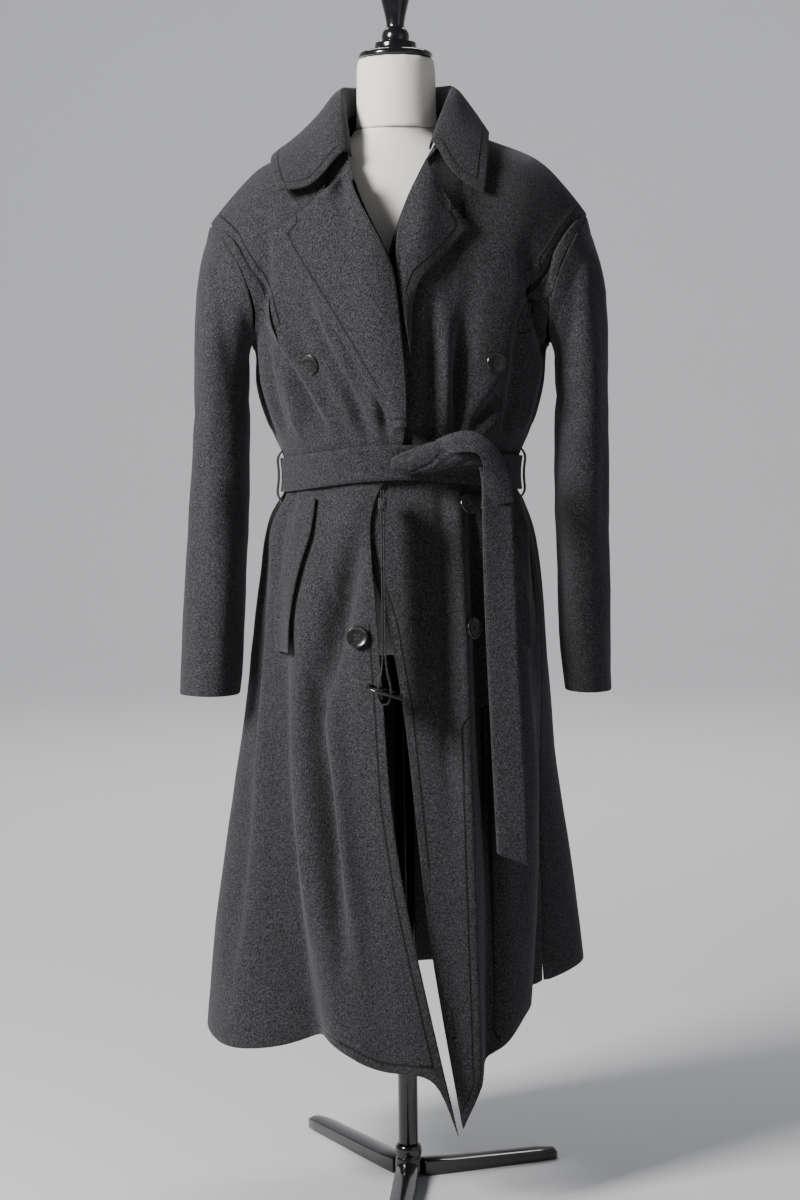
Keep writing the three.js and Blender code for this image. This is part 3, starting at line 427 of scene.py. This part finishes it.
# ---- Collar, lapels and pocket welts ------------------------------------------------
# The collar is cut with its stand and folds over it; the lapels are the fronts' own facings
# turned back at the roll line; the welts are doubled strips sewn over slanted pockets.
coat_piece("collar", "coat_collar", dents=0.0008,
           stitch=lambda p: p.z < 1.446 and math.hypot(p.x, p.y) > 0.098)
coat_piece("lapel_left", "coat_lapel_left", dents=0.0006,
           stitch=lambda p: p.x < -0.015 - (p.z - 1.1) * 0.375 and p.z < 1.335)
coat_piece("lapel_right", "coat_lapel_right", dents=0.0006,
           stitch=lambda p: p.x > -0.005 + (p.z - 1.2) * 0.45)
coat_piece("pocket_welt_left", "coat_welt_left", dents=0.0004)
coat_piece("pocket_welt_right", "coat_welt_right", dents=0.0004)

# ---- Belt -------------------------------------------------------------------------------
# One doubled strip of the coat cloth, wound round the waist and knotted at the front. One end
# hangs free; the buckle end hangs edge on, its two plies parted round the buckle's bar.
coat_piece("belt_wrap", "belt_round_waist", dents=0.0012)
coat_piece("belt_end", "belt_hanging_end", dents=0.0012)
coat_piece("belt_buckle_strap", "belt_buckle_end", dents=0.0)
coat_piece("belt_keeper", "belt_end_keeper", dents=0.0)
LOOP_TUCK = 0.009
for side in ("left", "right"):
    loop = coat_piece(f"belt_loop_{side}", f"belt_side_loop_{side}", dents=0.0)
    low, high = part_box(f"belt_loop_{side}")
    for vertex in loop.data.vertices:
        end = abs(vertex.co.z - (low.z + high.z) / 2) / ((high.z - low.z) / 2)
        vertex.co.x -= math.copysign(LOOP_TUCK * max(0.0, (end - 0.55) / 0.45) ** 1.5, vertex.co.x)

# The knot is the belt rolled and twisted on itself: a thick roll with slanting creases, over which
# the free end comes from behind before it drops.
KNOT_PATH = [(-0.012, 0.997), (0.016, 1.000), (0.046, 1.006), (0.074, 1.014), (0.098, 1.014), (0.112, 1.000)]
KNOT_HIGH = [0.013, 0.017, 0.021, 0.023, 0.021, 0.012]
KNOT_DEEP = 0.62
KNOT_ROUND = 48
low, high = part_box("belt_knot")
knot_y = (low.y + high.y) / 2
rings = 60
spots = []
for ring in range(rings + 1):
    t = ring / rings * (len(KNOT_PATH) - 1)
    first = min(int(t), len(KNOT_PATH) - 2)
    blend = t - first
    blend = blend * blend * (3 - 2 * blend)
    x, z = (KNOT_PATH[first][k] * (1 - blend) + KNOT_PATH[first + 1][k] * blend for k in (0, 1))
    tall = KNOT_HIGH[first] * (1 - blend) + KNOT_HIGH[first + 1] * blend
    tall *= math.sin(math.pi * min(1, 0.06 + ring / rings * 4) / 2) ** 0.5
    tall *= math.sqrt(max(0.02, 1 - (ring / rings) ** 10))
    for step in range(KNOT_ROUND):
        turn = 2 * math.pi * step / KNOT_ROUND
        slant = turn - ring / rings * 4.6
        crease = 1 - 0.16 * math.exp(-((math.sin(slant * 1.5)) / 0.22) ** 2)
        crease -= 0.07 * math.exp(-((math.sin(slant * 2.5 + 0.9)) / 0.25) ** 2)
        spots.append((x + 0.35 * tall * math.sin(turn) * 0.4,
                      knot_y - 0.004 - KNOT_DEEP * tall * crease * math.cos(turn),
                      z + tall * crease * math.sin(turn)))
faces = [(r * KNOT_ROUND + k, (r + 1) * KNOT_ROUND + k, (r + 1) * KNOT_ROUND + (k + 1) % KNOT_ROUND,
          r * KNOT_ROUND + (k + 1) % KNOT_ROUND) for r in range(rings) for k in range(KNOT_ROUND)]
faces += [tuple(range(KNOT_ROUND)), tuple(rings * KNOT_ROUND + k for k in reversed(range(KNOT_ROUND)))]
knot_mesh = bpy.data.meshes.new("belt_tied_knot")
knot_mesh.from_pydata(spots, [], faces)
work = bmesh.new()
work.from_mesh(knot_mesh)
bmesh.ops.recalc_face_normals(work, faces=work.faces)
work.to_mesh(knot_mesh)
work.free()
for face in knot_mesh.polygons:
    face.use_smooth = True
knot_mesh.attributes.new("from_edge", "FLOAT", "POINT").data.foreach_set(
    "value", [1.0] * len(knot_mesh.vertices))
knot_mesh.materials.append(wool)
knot = bpy.data.objects.new("belt_tied_knot", knot_mesh)
scene.collection.objects.link(knot)
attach(knot, ROOT)
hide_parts("belt_knot")

# The free end: pairs of points on its two edges, from the top of the knot to where it hangs.
OVER = [((0.046, -0.008, 1.026), (0.066, -0.014, 1.012)), ((0.066, -0.020, 1.034), (0.074, -0.026, 1.010)),
        ((0.090, -0.024, 1.037), (0.088, -0.033, 1.011)), ((0.112, -0.024, 1.026), (0.101, -0.033, 1.007)),
        ((0.130, -0.020, 1.007), (0.107, -0.027, 0.993)), ((0.142, -0.011, 0.977), (0.107, -0.014, 0.971)),
        ((0.148, 0.000, 0.945), (0.105, 0.002, 0.936))]
OVER_STEPS = 8
OVER_ACROSS = 8


def smooth_value(a, b, c, d, t):
    """Catmull-Rom value between b and c."""
    square, cube = 2 * a - 5 * b + 4 * c - d, 3 * b - a - 3 * c + d
    return 0.5 * (2 * b + (c - a) * t + square * t * t + cube * t ** 3)


spots = []
pairs = [[Vector((x, knot_y + y, z)) for x, y, z in pair] for pair in OVER]
for step in range((len(pairs) - 1) * OVER_STEPS + 1):
    first = min(step // OVER_STEPS, len(pairs) - 2)
    t = step / OVER_STEPS - first
    edges = [smooth_value(*(pairs[max(0, min(len(pairs) - 1, first + k))][side] for k in (-1, 0, 1, 2)), t)
             for side in (0, 1)]
    for across in range(OVER_ACROSS + 1):
        u = across / OVER_ACROSS
        spot = edges[0].lerp(edges[1], u)
        spots.append(spot + Vector((0, -0.004 * math.sin(math.pi * u), 0)))
wide = OVER_ACROSS + 1
faces = [(r * wide + k, r * wide + k + 1, (r + 1) * wide + k + 1, (r + 1) * wide + k)
         for r in range(len(spots) // wide - 1) for k in range(OVER_ACROSS)]
over_mesh = bpy.data.meshes.new("belt_end_over_knot")
over_mesh.from_pydata(spots, [], faces)
over_mesh.attributes.new("from_edge", "FLOAT", "POINT").data.foreach_set("value", [1.0] * len(spots))
over_mesh.materials.append(wool)
for face in over_mesh.polygons:
    face.use_smooth = True
over = bpy.data.objects.new("belt_end_over_knot", over_mesh)
scene.collection.objects.link(over)
thick = over.modifiers.new("two_plies", "SOLIDIFY")
thick.thickness = 0.0045
thick.offset = 0.0
soft = over.modifiers.new("soft_edges", "BEVEL")
soft.width = 0.0012
soft.segments = 2
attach(over, ROOT)

# ---- Dress form -----------------------------------------------------------------------------
# A padded torso and neck, covered in off-white cloth stretched smooth.


def stretched_linen():
    material = bpy.data.materials.new("stretched_linen")
    material.use_nodes = True
    tree = material.node_tree
    shader = tree.nodes["Principled BSDF"]
    shader.inputs["Roughness"].default_value = 0.8
    shader.inputs["Specular IOR Level"].default_value = 0.3
    weave = speckle(tree, 700.0, 0.3, 0.7)
    tree.links.new(mix_node(tree, weave, (0.76, 0.72, 0.65), (0.84, 0.81, 0.75)),
                   shader.inputs["Base Color"])
    bump = tree.nodes.new("ShaderNodeBump")
    bump.inputs["Strength"].default_value = 0.15
    bump.inputs["Distance"].default_value = 0.0004
    tree.links.new(weave, bump.inputs["Height"])
    tree.links.new(bump.outputs["Normal"], shader.inputs["Normal"])
    return material


linen = stretched_linen()
for node in ("form_torso", "form_neck"):
    made, _ = smooth_copy(node, f"covered_{node}")
    made.data.materials.clear()
    made.data.materials.append(linen)
    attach(made, ROOT)
    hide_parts(node)

# ---- Cap, finial, pole, hub and legs ------------------------------------------------------------
# Turned wood and steel tube, all finished in gloss black lacquer.


def gloss_lacquer():
    material = bpy.data.materials.new("gloss_lacquer")
    material.use_nodes = True
    tree = material.node_tree
    shader = tree.nodes["Principled BSDF"]
    shader.inputs["Coat Weight"].default_value = 0.6
    shader.inputs["Coat Roughness"].default_value = 0.08
    smudge = speckle(tree, 30.0, 0.3, 0.7)
    tree.links.new(mix_node(tree, smudge, (0.004, 0.004, 0.005), (0.009, 0.009, 0.01)),
                   shader.inputs["Base Color"])
    rough = tree.nodes.new("ShaderNodeMapRange")
    rough.inputs["To Min"].default_value = 0.16
    rough.inputs["To Max"].default_value = 0.26
    tree.links.new(smudge, rough.inputs["Value"])
    tree.links.new(rough.outputs["Result"], shader.inputs["Roughness"])
    return material


lacquer = gloss_lacquer()
for node in ("neck_cap", "finial", "hub", "pole", "leg_front", "leg_right", "leg_back"):
    made, _ = smooth_copy(node, f"lacquered_{node}", 2 if node in ("neck_cap", "finial", "hub") else 0)
    made.data.materials.clear()
    made.data.materials.append(lacquer)
    if node.startswith("leg") or node == "pole":
        bevel = made.modifiers.new("worn_edges", "BEVEL")
        bevel.width = 0.0012
        bevel.segments = 3
        bevel.limit_method = "ANGLE"
    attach(made, ROOT)
    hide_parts(node)

# ---- Buttons and buckle -----------------------------------------------------------------------------
# Dished dark horn buttons with a raised rim and four holes, and the belt's moulded frame buckle.


def dark_horn():
    material = bpy.data.materials.new("dark_horn")
    material.use_nodes = True
    tree = material.node_tree
    shader = tree.nodes["Principled BSDF"]
    shader.inputs["Roughness"].default_value = 0.2
    cloud = speckle(tree, 160.0, 0.35, 0.65, (1, 1, 2))
    tree.links.new(mix_node(tree, cloud, (0.010, 0.0095, 0.009), (0.022, 0.020, 0.018)),
                   shader.inputs["Base Color"])
    return material


horn = dark_horn()
HOLE_AT = 0.0027
HOLE_ROUND = 0.0011
DISH_DEEP = 0.0016
for node in sorted(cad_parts):
    if not (node.startswith("button") or node == "buckle"):
        continue
    thing, _ = smooth_copy(node, f"horn_{node}", 2 if node != "buckle" else 1, 0.6)
    thing.data.materials.clear()
    thing.data.materials.append(horn)
    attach(thing, ROOT if node != "buckle" else "buckle")
    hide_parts(node)
    if node == "buckle":
        continue
    at = np.array([v.co for v in thing.data.vertices])
    middle = (at.max(0) + at.min(0)) / 2
    facing = np.linalg.svd(at - at.mean(0), full_matrices=False)[2][2]
    facing = facing if facing[1] < 0 else -facing
    dish = Vector(middle) + Vector(facing) * (((at - middle) @ facing).max() - DISH_DEEP)
    way = Vector(facing)
    across = way.cross(Vector((0, 0, 1))).normalized()
    upright = across.cross(way)
    place = Matrix((across, upright, way)).transposed().to_4x4()
    place.translation = dish
    work = bmesh.new()
    for x, y in ((1, 1), (1, -1), (-1, 1), (-1, -1)):
        spot = place @ Matrix.Translation((x * HOLE_AT, y * HOLE_AT, 0.0))
        bmesh.ops.create_cone(work, cap_ends=True, segments=20, radius1=HOLE_ROUND, radius2=HOLE_ROUND,
                              depth=0.0006, matrix=spot)
    for sign in (1, -1):
        turn = Matrix.Rotation(math.radians(45), 4, "Z")
        spot = place @ turn @ Matrix.Translation((0.0, sign * 0.0013, 0.0005))
        bmesh.ops.create_icosphere(work, subdivisions=2, radius=1.0,
                                   matrix=spot @ Matrix.Diagonal((0.0042, 0.0006, 0.0006, 1)))
    sewn_mesh = bpy.data.meshes.new(f"thread_{node}")
    work.to_mesh(sewn_mesh)
    work.free()
    sewn_mesh.materials.append(thread)
    sewn = bpy.data.objects.new(f"thread_{node}", sewn_mesh)
    scene.collection.objects.link(sewn)
    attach(sewn, ROOT)
